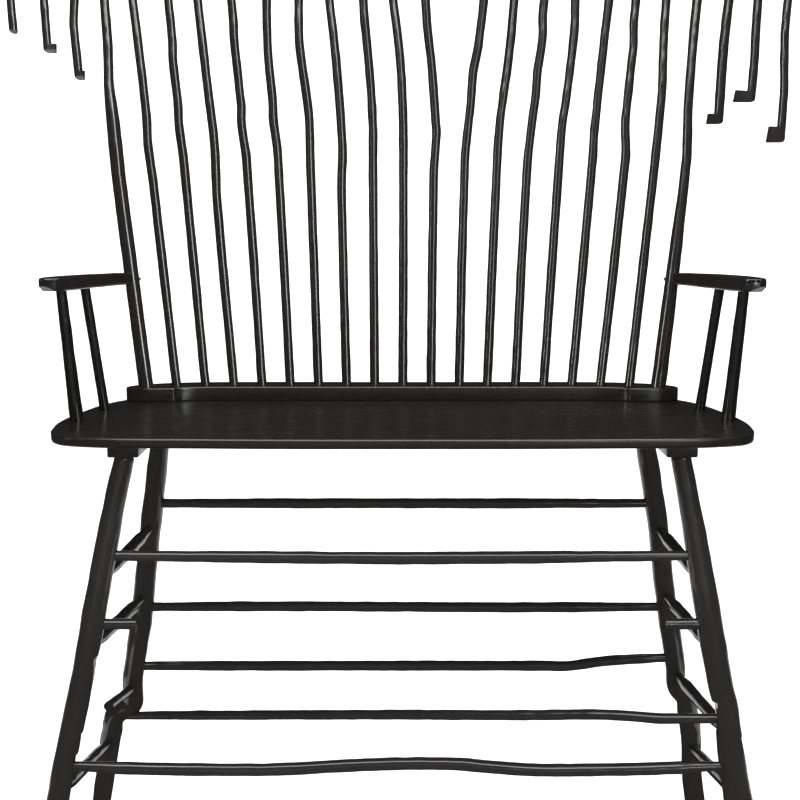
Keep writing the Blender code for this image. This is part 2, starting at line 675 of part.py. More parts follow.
def arm_outline(post_x, post_y):
    """Outer edge from the rear to the paddle, then back along the inner edge."""
    rear_y = post_y - PEG_HEAD_RADIUS - ARM_END_GAP
    front_y = ARM_POST_TOP.y - ARM_NOSE
    between = ARM_STICK_TOP.y - ARM_POST_TOP.y
    stations = (
        (rear_y, ARM_REAR_WIDTH),
        (rear_y - ARM_REAR_WIDTH * 1.6, ARM_REAR_WIDTH),
        (ARM_STICK_TOP.y + between * 0.30, ARM_WAIST_WIDTH),
        (ARM_STICK_TOP.y - between * 0.25, ARM_WAIST_WIDTH),
        (ARM_POST_TOP.y + between * 0.25, ARM_PADDLE_WIDTH),
        (ARM_POST_TOP.y - ARM_NOSE * 0.27, ARM_PADDLE_WIDTH),
        (front_y + ARM_NOSE * 0.24, ARM_PADDLE_WIDTH * 0.90),
    )
    outer = []
    inner = []
    for y, width in stations:
        middle = arm_middle(post_x, post_y, y)
        outer.append((middle + width / 2, y))
        inner.append((middle - width / 2, y))
    tip = arm_middle(post_x, post_y, front_y)
    nose = [(tip + ARM_PADDLE_WIDTH * 0.24, front_y), (tip - ARM_PADDLE_WIDTH * 0.22, front_y)]
    return outer + nose + inner[::-1]


def build_arm(side, seat, post, post_path, post_radii):
    sign = SIDES[side]
    middle_height = SEAT_HEIGHT + ARM_HEIGHT + ARM_THICKNESS / 2
    post_middle, post_radius = at_height(post_path, post_radii, middle_height)
    post_x = post_middle.x * sign
    post_y = post_middle.y

    outline = []
    for x, y in arm_outline(post_x, post_y):
        outline.append((x * sign, y - post_y))
    plank = closed_plank("arm_" + side, outline, ARM_THICKNESS, ARM_EDGE, PLANK_BEVEL)
    plank.location = (0.0, post_y, middle_height)
    plank.rotation_euler.x = -ARM_RISE
    arm = keep(shade_round(as_mesh(plank)), arm_paint)

    below = at_height(post_path, post_radii, middle_height - ARM_THICKNESS)[0]
    above = at_height(post_path, post_radii, middle_height + ARM_THICKNESS)[0]
    cope_radius = socket_radius(max(POST_RADIUS_BASE, post_radius), COPE_SIDES)
    combine(arm, "DIFFERENCE", cylinder_mesh(arm.name + "_cope", below, above, cope_radius, COPE_SIDES))

    tenon_height = middle_height - ARM_TENON_DROP
    joint, joint_radius = at_height(post_path, post_radii, tenon_height)
    root_y = post_y - ARM_TENON_ROOT
    tenon_root = Vector((arm_middle(post_x, post_y, root_y) * sign, root_y, tenon_height))
    along = (joint - tenon_root).normalized()
    tenon_tip = joint + along * ARM_TENON_PAST
    tenon = cylinder_mesh(arm.name + "_tenon", tenon_root, tenon_tip, ARM_TENON_RADIUS, LEG_SOCKET_SIDES)
    combine(arm, "UNION", tenon)
    drill(post, tenon_root, tenon_tip, ARM_TENON_RADIUS, LEG_SOCKET_SIDES)

    build_arm_peg(side, arm, post, joint, (above - below).normalized(), joint_radius)
    for name, base, top, base_radius, top_radius in (
        ("arm_post_", ARM_POST_BASE, ARM_POST_TOP, ARM_POST_RADIUS_BASE, ARM_POST_RADIUS_TOP),
        ("arm_spindle_", ARM_STICK_BASE, ARM_STICK_TOP, ARM_STICK_RADIUS, ARM_STICK_RADIUS),
    ):
        foot = lift(mirrored(base, sign), SEAT_HEIGHT)
        head = lift(mirrored(top, sign), arm_underside(post_y, top.y))
        along = (head - foot).normalized()
        path = [
            foot - along * ARM_POST_TENON,
            foot + along * FREE_END,
            foot.lerp(head, 0.35),
            foot.lerp(head, 0.70),
            head - along * FREE_END,
            head + along * ARM_POST_TENON,
        ]
        radii = [base_radius, base_radius]
        radii += [base_radius * 0.65 + top_radius * 0.35, base_radius * 0.3 + top_radius * 0.7]
        radii += [top_radius, top_radius]
        keep(rod_curve(name + side, path, radii, ROD_BEVEL), back_paint)
        drill(seat, path[1], path[0], base_radius)
        drill(arm, path[-2], path[-1], top_radius)


def build_arm_peg(side, arm, post, post_middle, post_axis, post_radius):
    """A peg square across the back post that pins the arm's tenon, with its head on the inner side."""
    sideways = Vector((-SIDES[side], 0.0, 0.0))
    inwards = (sideways - post_axis * sideways.dot(post_axis)).normalized()
    outer = post_middle - inwards * post_radius
    inner = post_middle + inwards * (post_radius + CLEARANCE)
    neck = inner + inwards * PEG_HEAD_LENGTH * 0.05
    path = [outer, inner, neck, inner + inwards * PEG_HEAD_LENGTH * 0.8, inner + inwards * PEG_HEAD_LENGTH]
    radii = [PEG_RADIUS, PEG_RADIUS, PEG_HEAD_RADIUS, PEG_HEAD_RADIUS, PEG_HEAD_RADIUS * 0.6]
    keep(rod_curve("arm_peg_" + side, path, radii, ROD_BEVEL), peg_paint)
    for piece in (post, arm):
        drill(piece, inner + inwards * PEG_RADIUS, outer - inwards * PEG_RADIUS, PEG_RADIUS)


# Legs and stretchers


def leg_path(name, side, top, splay):
    """A leg from its tenon in the seat to just below the floor, with a radius at each point."""
    foot = top + Vector(splay)
    head = lift(mirrored(top, SIDES[side]), CLEAT_BOTTOM)
    sole = lift(mirrored(foot, SIDES[side]), 0.0)
    outwards = Vector((SIDES[side], 0.0, 0.0))
    along = (sole - head).normalized()
    drop = -along.z
    tip = head - along * ((SEAT_HEIGHT - SEAT_THICKNESS + LEG_TENON_IN_SEAT - CLEAT_BOTTOM) / drop)
    neck = head + along * (LEG_NECK / drop)
    ledge = neck + along * LEG_SHOULDER * 0.10
    knots = [neck + along * LEG_SHOULDER]
    thick = [LEG_TOP_RADIUS]
    for share, stray, swell in LEG_BENDS[name]:
        knots.append(sole.lerp(head, share) + outwards * stray)
        thick.append(LEG_RADIUS + swell)
    last = knots[-1]
    knots.append(last + along * ((last.z + LEG_RADIUS) / drop))
    thick.append(thick[-1])
    path = smooth_path(knots)
    radii = []
    for point in path:
        radii.append(at_height(knots, thick, point.z)[1])
    return (
        [tip, neck, ledge] + path,
        [LEG_TENON_RADIUS, LEG_TENON_RADIUS, (LEG_TENON_RADIUS + LEG_TOP_RADIUS) / 2] + radii,
    )


def build_legs(seat, cleats):
    legs = {}
    ends = (("front", FRONT_LEG_TOP, FRONT_LEG_SPLAY), ("rear", REAR_LEG_TOP, REAR_LEG_SPLAY))
    for end, top, splay in ends:
        for side in SIDES:
            name = f"leg_{end}_{side}"
            path, radii = leg_path(name, side, top, splay)
            leg = keep(shade_round(as_mesh(rod_curve(name, path, radii, LEG_BEVEL))), leg_paint)
            sole = at_height(path, radii, 0.0)[0]
            reach = LEG_RADIUS * 3
            low = (sole.x - reach, sole.y - reach, -reach)
            add_cutter(leg, box_mesh(name + "_floor", low, (sole.x + reach, sole.y + reach, 0.0)))
            drill(seat, path[1], path[0], LEG_TENON_RADIUS, LEG_SOCKET_SIDES)
            drill(cleats[side], path[1], path[0], LEG_TENON_RADIUS, LEG_SOCKET_SIDES)
            legs[end, side] = (leg, path, radii)
    return legs


def leg_entry(legs, key, height, towards):
    """The tip of a rod in this leg, and the point where it is clear of the leg."""
    leg, path, radii = legs[key]
    middle, radius = at_height(path, radii, height)
    along = (towards - middle).normalized()
    return leg, middle + along * (radius - STRETCHER_TENON), middle + along * (radius + FREE_END)


def build_stretcher(name, legs, first, second, bends, radius):
    """A rod between two legs: each end is given as a leg and a height."""
    first_middle = at_height(*legs[first[0]][1:], first[1])[0]
    second_middle = at_height(*legs[second[0]][1:], second[1])[0]
    first_leg, first_tip, first_out = leg_entry(legs, *first, second_middle)
    second_leg, second_tip, second_out = leg_entry(legs, *second, first_middle)
    knots = [first_out]
    for share, stray in bends:
        knots.append(first_out.lerp(second_out, share) + Vector((0.0, 0.0, stray)))
    knots.append(second_out)
    path = [first_tip] + smooth_path(knots) + [second_tip]
    radii = [STRETCHER_END_RADIUS] * 2 + [radius] * (len(path) - 4) + [STRETCHER_END_RADIUS] * 2
    keep(rod_curve(name, path, radii, ROD_BEVEL), leg_paint)
    drill(first_leg, first_out, first_tip, STRETCHER_END_RADIUS)
    drill(second_leg, second_out, second_tip, STRETCHER_END_RADIUS)


def build_stretchers(legs):
    for level, height in FRONT_STRETCHER_HEIGHTS.items():
        ends = ((("front", "left"), height), (("front", "right"), height))
        bends = FRONT_STRETCHER_BENDS[level]
        build_stretcher("front_stretcher_" + level, legs, *ends, bends, FRONT_STRETCHER_RADIUS)
    for level, height in REAR_STRETCHER_HEIGHTS.items():
        right_height = height + REAR_LOWER_LIFT if level == "lower" else height
        ends = ((("rear", "left"), height), (("rear", "right"), right_height))
        bends = REAR_STRETCHER_BENDS[level]
        build_stretcher("rear_stretcher_" + level, legs, *ends, bends, REAR_STRETCHER_RADIUS)
    rear, front = CROSS_STRETCHER_HEIGHTS
    ends = ((("rear", "left"), rear), (("front", "right"), front))
    build_stretcher("cross_stretcher", legs, *ends, CROSS_STRETCHER_BENDS, CROSS_STRETCHER_RADIUS)
    for side in SIDES:
        for i, (front, rear) in enumerate(SIDE_STRETCHER_HEIGHTS[side]):
            name = f"side_stretcher_{side}_{i + 1}"
            ends = ((("front", side), front), (("rear", side), rear))
            build_stretcher(name, legs, *ends, SIDE_STRETCHER_BENDS, SIDE_STRETCHER_RADIUS)


def build_leg_peg(name, legs, key, height, along, length):
    """A short round peg with a free end that stands out from a leg."""
    leg, path, radii = legs[key]
    middle, radius = at_height(path, radii, height)
    tip = middle + along * (radius - STRETCHER_TENON)
    out = middle + along * (radius + FREE_END)
    end = middle + along * (radius + length)
    chamfer = LEG_PEG_RADIUS * 0.25
    peg_path = [tip, out, end - along * chamfer, end]
    peg_radii = [LEG_PEG_RADIUS, LEG_PEG_RADIUS, LEG_PEG_RADIUS, LEG_PEG_RADIUS - chamfer]
    keep(rod_curve(name, peg_path, peg_radii, ROD_BEVEL), leg_paint)
    drill(leg, out, tip, LEG_PEG_RADIUS)


def build_leg_pegs(legs):
    """One on the inner side of each front leg, and one that points forwards from the rear left leg."""
    for side, sign in SIDES.items():
        inwards = Vector((-sign, 0.0, 0.0))
        build_leg_peg("leg_peg_" + side, legs, ("front", side), FRONT_PEG_HEIGHT, inwards, FRONT_PEG_LENGTH)
    rear = at_height(*legs["rear", "left"][1:], REAR_PEG_HEIGHT)[0]
    front = at_height(*legs["front", "left"][1:], REAR_PEG_HEIGHT + REAR_PEG_RISE)[0]
    along = (front - rear).normalized()
    build_leg_peg("leg_peg_rear", legs, ("rear", "left"), REAR_PEG_HEIGHT, along, REAR_PEG_LENGTH)


def centre_on_floor():
    """Moves the whole object so that the origin lies under the middle of its box."""
    bpy.context.view_layer.update()
    graph = bpy.context.evaluated_depsgraph_get()
    corners = []
    for obj in parts.objects:
        if obj.type != "EMPTY":
            seen = obj.evaluated_get(graph)
            corners += [seen.matrix_world @ Vector(corner) for corner in seen.bound_box]
    for axis in (0, 1):
        values = [corner[axis] for corner in corners]
        root.location[axis] = -(min(values) + max(values)) / 2


seat = build_seat()
riser = build_riser()
cleats = {side: build_cleat("cleat_" + side, sign) for side, sign in SIDES.items()}
crest = build_crest()
build_spindles(riser, crest)
for side in SIDES:
    post, post_path, post_radii = build_back_post(side, riser, crest)
    build_arm(side, seat, post, post_path, post_radii)
    for i, drop in enumerate(DROP_SPINDLES[side]):
        build_drop_spindle(f"drop_spindle_{side}_{i + 1}", side, *drop, crest)
legs = build_legs(seat, cleats)
build_stretchers(legs)
build_leg_pegs(legs)
centre_on_floor()
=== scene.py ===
import math

import bmesh
import bpy
import numpy as np
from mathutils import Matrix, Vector


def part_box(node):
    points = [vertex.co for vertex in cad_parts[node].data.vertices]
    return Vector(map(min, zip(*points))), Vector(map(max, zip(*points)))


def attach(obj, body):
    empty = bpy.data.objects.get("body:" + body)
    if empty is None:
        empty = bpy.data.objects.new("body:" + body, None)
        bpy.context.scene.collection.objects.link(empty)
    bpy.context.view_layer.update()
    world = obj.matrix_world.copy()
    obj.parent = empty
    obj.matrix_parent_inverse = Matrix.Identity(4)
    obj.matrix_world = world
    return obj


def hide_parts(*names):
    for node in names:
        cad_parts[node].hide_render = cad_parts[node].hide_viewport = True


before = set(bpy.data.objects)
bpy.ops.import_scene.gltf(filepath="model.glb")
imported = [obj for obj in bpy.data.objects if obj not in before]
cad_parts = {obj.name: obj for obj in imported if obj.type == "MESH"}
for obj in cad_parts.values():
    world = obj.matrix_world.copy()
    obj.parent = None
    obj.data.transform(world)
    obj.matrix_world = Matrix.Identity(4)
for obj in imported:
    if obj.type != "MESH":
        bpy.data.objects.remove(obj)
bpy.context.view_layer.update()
scene = bpy.context.scene
sides = {"left": -1.0, "right": 1.0}
print("frame:", len(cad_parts), "nodes")


# camera, floor and lamps

view = {"place": (-0.0039, -2.3480, 1.1197), "lookDown": 7.901, "lens": 63.23, "sensor": 36.0}


def setCamera():
    tilt = math.radians(90.0 - view["lookDown"])
    bpy.ops.object.camera_add(location=view["place"], rotation=(tilt, 0.0, 0.0))
    eye = bpy.context.object
    eye.data.lens = view["lens"]
    eye.data.sensor_width = view["sensor"]
    scene.camera = eye


studio = {
    "floorRadius": 0.75,
    "floorMiddle": (0.0, 0.0, 0.0),
    "wallRadius": 8.0,
    "wallHeight": 6.0,
    "wallFoot": -0.002,
    "sweep": 2.0,  # radius of the bend at the wall's foot
    "sweepCuts": 12,
    "corners": 96,
    "glow": 0.98,
    "tones": (0.60, 0.64),
    "clouds": 0.7,
    "rough": 0.9,
    "roomLight": 0.020,
}


def paleStage(name, glow):
    material = bpy.data.materials.new(name)
    material.use_nodes = True
    tree = material.node_tree
    shader = tree.nodes["Principled BSDF"]
    place = Flow(tree, tree.nodes.new("ShaderNodeTexCoord").outputs["Object"])
    cloud = noise(place, place, studio["clouds"])
    dull, bright = ((tone, tone, tone, 1.0) for tone in studio["tones"])
    tone = mixColours(cloud, dull, bright)
    tree.links.new(tone.socket, shader.inputs["Base Color"])
    shader.inputs["Roughness"].default_value = studio["rough"]
    shader.inputs["Specular IOR Level"].default_value = 0.0
    shader.inputs["Emission Color"].default_value = (1.0, 1.0, 1.0, 1.0)
    shader.inputs["Emission Strength"].default_value = glow
    return material


def buildStage():
    pale = paleStage("paleStage", studio["glow"])
    deselect()
    bpy.ops.mesh.primitive_circle_add(
        vertices=studio["corners"], radius=studio["floorRadius"], fill_type="NGON",
        location=studio["floorMiddle"]
    )
    floor = bpy.context.object
    floor.name = "floor"
    bpy.ops.object.transform_apply(location=True, rotation=False, scale=False)
    openMesh(floor)
    bpy.ops.mesh.select_all(action="SELECT")
    bpy.ops.mesh.inset(thickness=studio["floorRadius"] * 0.5)
    closeMesh()

    # the white room round it is a tub with no lid and a swept foot
    deselect()
    bpy.ops.mesh.primitive_cylinder_add(
        vertices=studio["corners"], radius=studio["wallRadius"], depth=studio["wallHeight"],
        location=(0.0, 0.0, studio["wallHeight"] / 2 + studio["wallFoot"])
    )
    wall = bpy.context.object
    wall.name = "backdrop"
    bpy.ops.object.transform_apply(location=True, rotation=False, scale=False)
    openMesh(wall)
    pickFaces(wall, lambda middle, normal: normal.z > 0.9)
    bpy.ops.mesh.delete(type="FACE")
    pickFaces(wall, lambda middle, normal: normal.z < -0.9)
    bpy.ops.mesh.bevel(offset=studio["sweep"], segments=studio["sweepCuts"], affect="EDGES")
    bpy.ops.mesh.select_all(action="SELECT")
    bpy.ops.mesh.flip_normals()
    closeMesh()
    bpy.ops.object.shade_smooth()
    for piece in (floor, wall):
        piece.data.materials.append(pale)
        piece.visible_glossy = False  # the paint mirrors only the lamps and the pale cards
    print("stage: floor and backdrop")


lamps = {
    "rightBox": {
        "place": (0.88, -1.65, 2.00), "aim": (-0.53, 0.15, 1.25),
        "size": (0.45, 1.60), "power": 2.6, "spread": 44.0,
    },
    "leftBox": {
        "place": (-2.30, -1.45, 2.20), "aim": (0.85, -0.18, 1.30),
        "size": (0.50, 1.60), "power": 2.6, "spread": 26.0,
    },
    "frontBox": {
        "place": (0.0, -1.50, 2.80), "aim": (0.0, -0.10, 0.80),
        "size": (2.60, 0.80), "power": 60.0, "spread": 180.0,
    },
    "topBox": {
        "place": (0.0, 0.10, 3.20), "aim": (0.0, -0.10, 0.80),
        "size": (2.40, 0.90), "power": 65.0, "spread": 180.0,
    },
    "lowBox": {
        "place": (1.70, -3.85, 1.45), "aim": (0.0, -0.20, 0.70),
        "size": (1.20, 0.35), "power": 22.0, "spread": 180.0,
    },
    "fillCard": {
        "place": (0.0, -3.40, 0.55), "aim": (0.0, 0.0, 0.45),
        "size": (3.20, 1.00), "power": 3.0, "spread": 180.0,
    },
    "rearCard": {
        "place": (0.0, 3.05, 0.004), "aim": (0.0, 3.05, 1.0),
        "size": (5.00, 4.90), "power": 95.0, "spread": 180.0,
    },
    "leftCard": {
        "place": (-1.15, -0.10, 0.004), "aim": (-1.15, -0.10, 1.0),
        "size": (0.50, 1.20), "power": 3.0, "spread": 180.0,
    },
    "rightCard": {
        "place": (1.15, -0.10, 0.004), "aim": (1.15, -0.10, 1.0),
        "size": (0.50, 1.20), "power": 3.0, "spread": 180.0,
    },
}


def hangLamps():
    for name, lamp in lamps.items():
        deselect()
        bpy.ops.object.light_add(type="AREA", location=lamp["place"])
        light = bpy.context.object
        light.name = name
        aim = Vector(lamp["aim"]) - Vector(lamp["place"])
        light.rotation_euler = aim.to_track_quat("-Z", "Y").to_euler()
        light.data.shape = "RECTANGLE"
        light.data.size, light.data.size_y = lamp["size"]
        light.data.energy = lamp["power"]
        light.data.spread = math.radians(lamp["spread"])
        light.visible_camera = False
    world = bpy.data.worlds.new("dimRoom")
    world.use_nodes = True
    dim = studio["roomLight"]
    world.node_tree.nodes["Background"].inputs["Color"].default_value = (dim, dim, dim, 1.0)
    scene.world = world
    scene.view_settings.view_transform = "Standard"
    print("lamps:", ", ".join(lamps))


# shader sums: a socket that can stand in a Python expression


class Flow:
    def __init__(self, tree, socket):
        self.tree = tree
        self.socket = socket

    def node(self, kind, settings, sockets, out=0):
        made = self.tree.nodes.new(kind)
        for name, value in settings.items():
            setattr(made, name, value)
        for name, value in sockets.items():
            if isinstance(value, Flow):
                self.tree.links.new(value.socket, made.inputs[name])
            else:
                made.inputs[name].default_value = value
        return Flow(self.tree, made.outputs[out])

    def sum(self, operation, first, second):
        return self.node("ShaderNodeMath", {"operation": operation}, {0: first, 1: second})

    def __add__(self, other):
        return self.sum("ADD", self, other)

    def __radd__(self, other):
        return self.sum("ADD", other, self)

    def __sub__(self, other):
        return self.sum("SUBTRACT", self, other)

    def __rmul__(self, other):
        return self.sum("MULTIPLY", other, self)


def mixColours(share, first, second):
    return share.node("ShaderNodeMix", {"data_type": "RGBA"}, {0: share, 6: first, 7: second}, out=2)


def noise(place, along, scale, detail=3.0, rough=0.5):
    sockets = {"Vector": along, "Scale": scale, "Detail": detail, "Roughness": rough}
    return place.node("ShaderNodeTexNoise", {}, sockets)


# black satin paint, brushed on along each piece. The real piece has one black paint throughout, but the
# base tone (shade) is set piece by piece as painted light and shade: the legs, the crosswise stretchers,
# the side pegs and the crest get lighter copies as painted light, and the arm posts, arms and seat get
# darker copies as painted shade

paints = {
    "seatPaint": {"grain": (0.05, 1.0, 1.0), "shade": 0.0050, "rough": 0.27},
    "riserPaint": {"grain": (0.05, 1.0, 1.0), "shade": 0.0062, "rough": 0.22},
    "cleatPaint": {"grain": (1.0, 0.05, 1.0), "shade": 0.0070, "rough": 0.30},
    "stickPaint": {"grain": (1.0, 1.0, 0.05), "shade": 0.0075, "rough": 0.17},
    "postShadedPaint": {"grain": (1.0, 1.0, 0.05), "shade": 0.0034, "rough": 0.20},
    "armPaint": {"grain": (1.0, 0.06, 1.0), "shade": 0.0052, "rough": 0.22},
    "pegPaint": {"grain": (0.2, 1.0, 1.0), "shade": 0.0080, "rough": 0.30},
    "legLitPaint": {"grain": (1.0, 1.0, 0.05), "shade": 0.0105, "rough": 0.17},
    "crossLitPaint": {"grain": (0.05, 1.0, 1.0), "shade": 0.0125, "rough": 0.18},
    "sidePaint": {"grain": (1.0, 0.05, 1.0), "shade": 0.0070, "rough": 0.23},
}
brush = {
    "streaks": 140.0, "streakRough": 0.55, "clouds": 7.0, "peel": 1100.0, "peelDetail": 1.0,
    "warmth": 0.91, "lift": 1.5,
    "glossByStreak": 0.10, "glossByCloud": 0.12,
    "streakShare": 0.7, "bump": 0.12, "bumpDepth": 0.0005,
}


def blackPaint(name, look):
    material = bpy.data.materials.new(name)
    material.use_nodes = True
    tree = material.node_tree
    shader = tree.nodes["Principled BSDF"]
    place = Flow(tree, tree.nodes.new("ShaderNodeTexCoord").outputs["Object"])
    along = place.node("ShaderNodeMapping", {}, {"Vector": place, "Scale": look["grain"]})
    streak = noise(place, along, brush["streaks"], rough=brush["streakRough"])
    cloud = noise(place, place, brush["clouds"])
    peel = noise(place, place, brush["peel"], brush["peelDetail"])
    # the base tone is the piece's shade value, which carries the painted light and shade set per piece
    shade, warmth = look["shade"], brush["warmth"]
    deep = (shade, shade * warmth, shade * warmth**2, 1.0)
    worn = tuple(channel * brush["lift"] for channel in deep[:3]) + (1.0,)
    tone = mixColours(0.5 * streak + 0.5 * cloud, deep, worn)
    tree.links.new(tone.socket, shader.inputs["Base Color"])
    uneven = brush["glossByStreak"] * (streak - 0.5)
    rough = look["rough"] + uneven + brush["glossByCloud"] * (cloud - 0.5)
    tree.links.new(rough.socket, shader.inputs["Roughness"])
    height = brush["streakShare"] * streak + (1.0 - brush["streakShare"]) * peel
    bump = place.node(
        "ShaderNodeBump", {},
        {"Height": height, "Strength": brush["bump"], "Distance": brush["bumpDepth"]}
    )
    tree.links.new(bump.socket, shader.inputs["Normal"])
    return material


# modelling steps used on every piece


def deselect():
    bpy.ops.object.select_all(action="DESELECT")


def activate(piece):
    deselect()
    piece.select_set(True)
    bpy.context.view_layer.objects.active = piece


def openMesh(piece, part="FACE"):
    activate(piece)
    bpy.ops.object.mode_set(mode="EDIT")
    bpy.ops.mesh.select_mode(type=part)
    bpy.ops.mesh.select_all(action="DESELECT")


def closeMesh():
    bpy.ops.object.mode_set(mode="OBJECT")


def pickFaces(piece, wanted):
    bpy.ops.mesh.select_all(action="DESELECT")
    shape = bmesh.from_edit_mesh(piece.data)
    for face in shape.faces:
        if wanted(face.calc_center_median(), face.normal):
            face.select_set(True)
    bmesh.update_edit_mesh(piece.data)


def pickEdges(piece, wanted):
    bpy.ops.mesh.select_all(action="DESELECT")
    shape = bmesh.from_edit_mesh(piece.data)
    for edge in shape.edges:
        if wanted(edge.verts[0].co, edge.verts[1].co):
            edge.select_set(True)
    bmesh.update_edit_mesh(piece.data)


def pickSharp(piece, angle):
    bpy.ops.mesh.select_all(action="DESELECT")
    shape = bmesh.from_edit_mesh(piece.data)
    for edge in shape.edges:
        if edge.calc_face_angle(0.0) > math.radians(angle):
            edge.select_set(True)
    bmesh.update_edit_mesh(piece.data)


def cleanMesh(piece, near=0.00002):
    # one shell: corners that touch are joined, and faces left inside by a cut go
    openMesh(piece)
    bpy.ops.mesh.select_all(action="SELECT")
    bpy.ops.mesh.remove_doubles(threshold=near)
    bpy.ops.mesh.select_all(action="DESELECT")
    bpy.ops.mesh.select_interior_faces()
    bpy.ops.mesh.delete(type="FACE")
    bpy.ops.mesh.select_all(action="SELECT")
    bpy.ops.mesh.normals_make_consistent(inside=False)
    closeMesh()


def applyStep(piece, kind, settings):
    activate(piece)
    step = piece.modifiers.new(kind.lower(), kind)
    for name, value in settings.items():
        setattr(step, name, value)
    bpy.ops.object.modifier_apply(modifier=step.name)


def cutOff(piece, spot, normal, clear=True):
    # a straight saw cut: what lies on the normal's side goes, and the cut is closed
    openMesh(piece)
    bpy.ops.mesh.select_all(action="SELECT")
    bpy.ops.mesh.bisect(
        plane_co=spot, plane_no=normal, use_fill=clear, clear_outer=clear, clear_inner=False
    )
    closeMesh()


def boxOf(piece):
    corners = np.array([corner.co for corner in piece.data.vertices])
    return Vector(corners.min(axis=0)), Vector(corners.max(axis=0))


def centreOn(piece, node):
    low, high = boxOf(piece)
    cadLow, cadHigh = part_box(node)
    piece.location = (cadLow + cadHigh) / 2 - (low + high) / 2
    activate(piece)
    bpy.ops.object.transform_apply(location=True, rotation=False, scale=False)


def finishPiece(piece, node, paint, angle=40.0):
    piece.name = node + "_finished"
    piece.data.name = piece.name
    activate(piece)
    bpy.ops.object.transform_apply(location=True, rotation=True, scale=True)
    bpy.ops.object.shade_smooth_by_angle(angle=math.radians(angle))
    piece.data.materials.clear()
    piece.data.materials.append(coats[paint])
    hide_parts(node)
    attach(piece, "root")


# rods: the middle line and thickness come from flat cuts across the node


def trianglesOf(node):
    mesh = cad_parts[node].data
    mesh.calc_loop_triangles()
    spots = np.empty(len(mesh.vertices) * 3, np.float32)
    mesh.vertices.foreach_get("co", spots)
    corners = np.empty(len(mesh.loop_triangles) * 3, np.int32)
    mesh.loop_triangles.foreach_get("vertices", corners)
    return spots.reshape(-1, 3).astype(float)[corners.reshape(-1, 3)]


def cutAcross(triangles, axis, place):
    found = []
    for start, end in ((0, 1), (1, 2), (2, 0)):
        first, second = triangles[:, start], triangles[:, end]
        cut = (first[:, axis] > place) != (second[:, axis] > place)
        run = second[cut] - first[cut]
        share = (place - first[cut, axis]) / run[:, axis]
        found.append(first[cut] + run * share[:, None])
    return np.concatenate(found)


def roundFit(points, axis):
    # best circle through a cut, leaving out the walls of sockets
    flat = np.delete(points, axis, axis=1)
    middle = flat.mean(axis=0)
    flat = flat - middle
    kept = flat
    for slack in (0.35, 0.20, 0.12, 0.09):
        table = np.column_stack((2.0 * kept, np.ones(len(kept))))
        u, v, rest = np.linalg.lstsq(table, (kept**2).sum(axis=1), rcond=None)[0]
        radius = math.sqrt(rest + u * u + v * v)
        off = abs(np.hypot(flat[:, 0] - u, flat[:, 1] - v) - radius)
        kept = flat[off < slack * radius]
    return middle + (u, v), radius


def spineOf(node, axis, start, end, step):
    triangles = trianglesOf(node)
    count = max(round((end - start) / step), 2)
    spine = []
    for i in range(count + 1):
        place = start + (end - start) * i / count
        middle, radius = roundFit(cutAcross(triangles, axis, place), axis)
        spine.append([Vector(np.insert(middle, axis, place)), radius])
    for i, knot in enumerate(spine):  # a slanting rod is wider in the cut than across its own line
        along = spine[min(i + 1, count)][0] - spine[max(i - 1, 0)][0]
        knot[1] *= math.sqrt(abs(along.normalized()[axis]))
    return spine


def stretchEnds(spine, before, after):
    first, second = spine[0][0], spine[1][0]
    last, previous = spine[-1][0], spine[-2][0]
    if before:
        spine.insert(0, [first + (first - second).normalized() * before, spine[0][1]])
    if after:
        spine.append([last + (last - previous).normalized() * after, spine[-1][1]])
    return spine


# a knife-shaved round: eight points, some a little nearer to the middle
shaved = {
    "stick": {"flats": (1.0, 0.965, 1.015, 0.97, 1.0, 0.975, 1.01, 0.965), "rings": 2},
    "leg": {"flats": (1.0, 0.975, 1.01, 0.97, 1.01, 0.98, 1.0, 0.97), "rings": 3},
    "peg": {"flats": (1.0,) * 8, "rings": 2},
}
markSizes = {"knife": 0.030, "axe": 0.055}


def drawSection(name):
    deselect()
    bpy.ops.curve.primitive_bezier_circle_add(radius=1.0)
    section = bpy.context.object
    section.name = name + "Section"
    bpy.ops.object.mode_set(mode="EDIT")
    bpy.ops.curve.select_all(action="SELECT")
    bpy.ops.curve.subdivide()
    bpy.ops.object.mode_set(mode="OBJECT")
    for point, flat in zip(section.data.splines[0].bezier_points, shaved[name]["flats"]):
        point.handle_left_type = "AUTO"
        point.handle_right_type = "AUTO"
        point.co = point.co * flat
    section.data.resolution_u = shaved[name]["rings"]
    section.hide_render = True
    return section


def shaveRod(spine, section, rings, twist):
    deselect()
    bpy.ops.curve.primitive_bezier_curve_add()
    rod = bpy.context.object
    line = rod.data
    knots = line.splines[0].bezier_points
    knots.add(len(spine) - len(knots))
    for i, (knot, (middle, radius)) in enumerate(zip(knots, spine)):
        knot.handle_left_type = "AUTO"
        knot.handle_right_type = "AUTO"
        knot.co = middle
        knot.radius = radius
        knot.tilt = twist * i
    line.dimensions = "3D"
    line.resolution_u = rings
    line.bevel_mode = "OBJECT"
    line.bevel_object = section
    line.use_fill_caps = True
    bpy.ops.object.convert(target="MESH")
    rod = bpy.context.object
    cleanMesh(rod)
    return rod


def toolMarks(name):
    texture = bpy.data.textures.new(name + "Marks", "CLOUDS")
    texture.noise_scale = markSizes[name]
    texture.noise_depth = 1
    return texture


def hew(piece, tool, depth):
    applyStep(
        piece, "DISPLACE",
        {"texture": marks[tool], "strength": depth, "mid_level": 0.5, "texture_coords": "LOCAL"}
    )


# the fan of back sticks, the back posts and the arm posts

stick = {"step": 0.022, "rings": 4, "trim": 0.006, "twist": 0.05, "depth": 0.0011}
stickFatten = {"spindle": 1.15, "back": 1.13, "arm": 1.08}


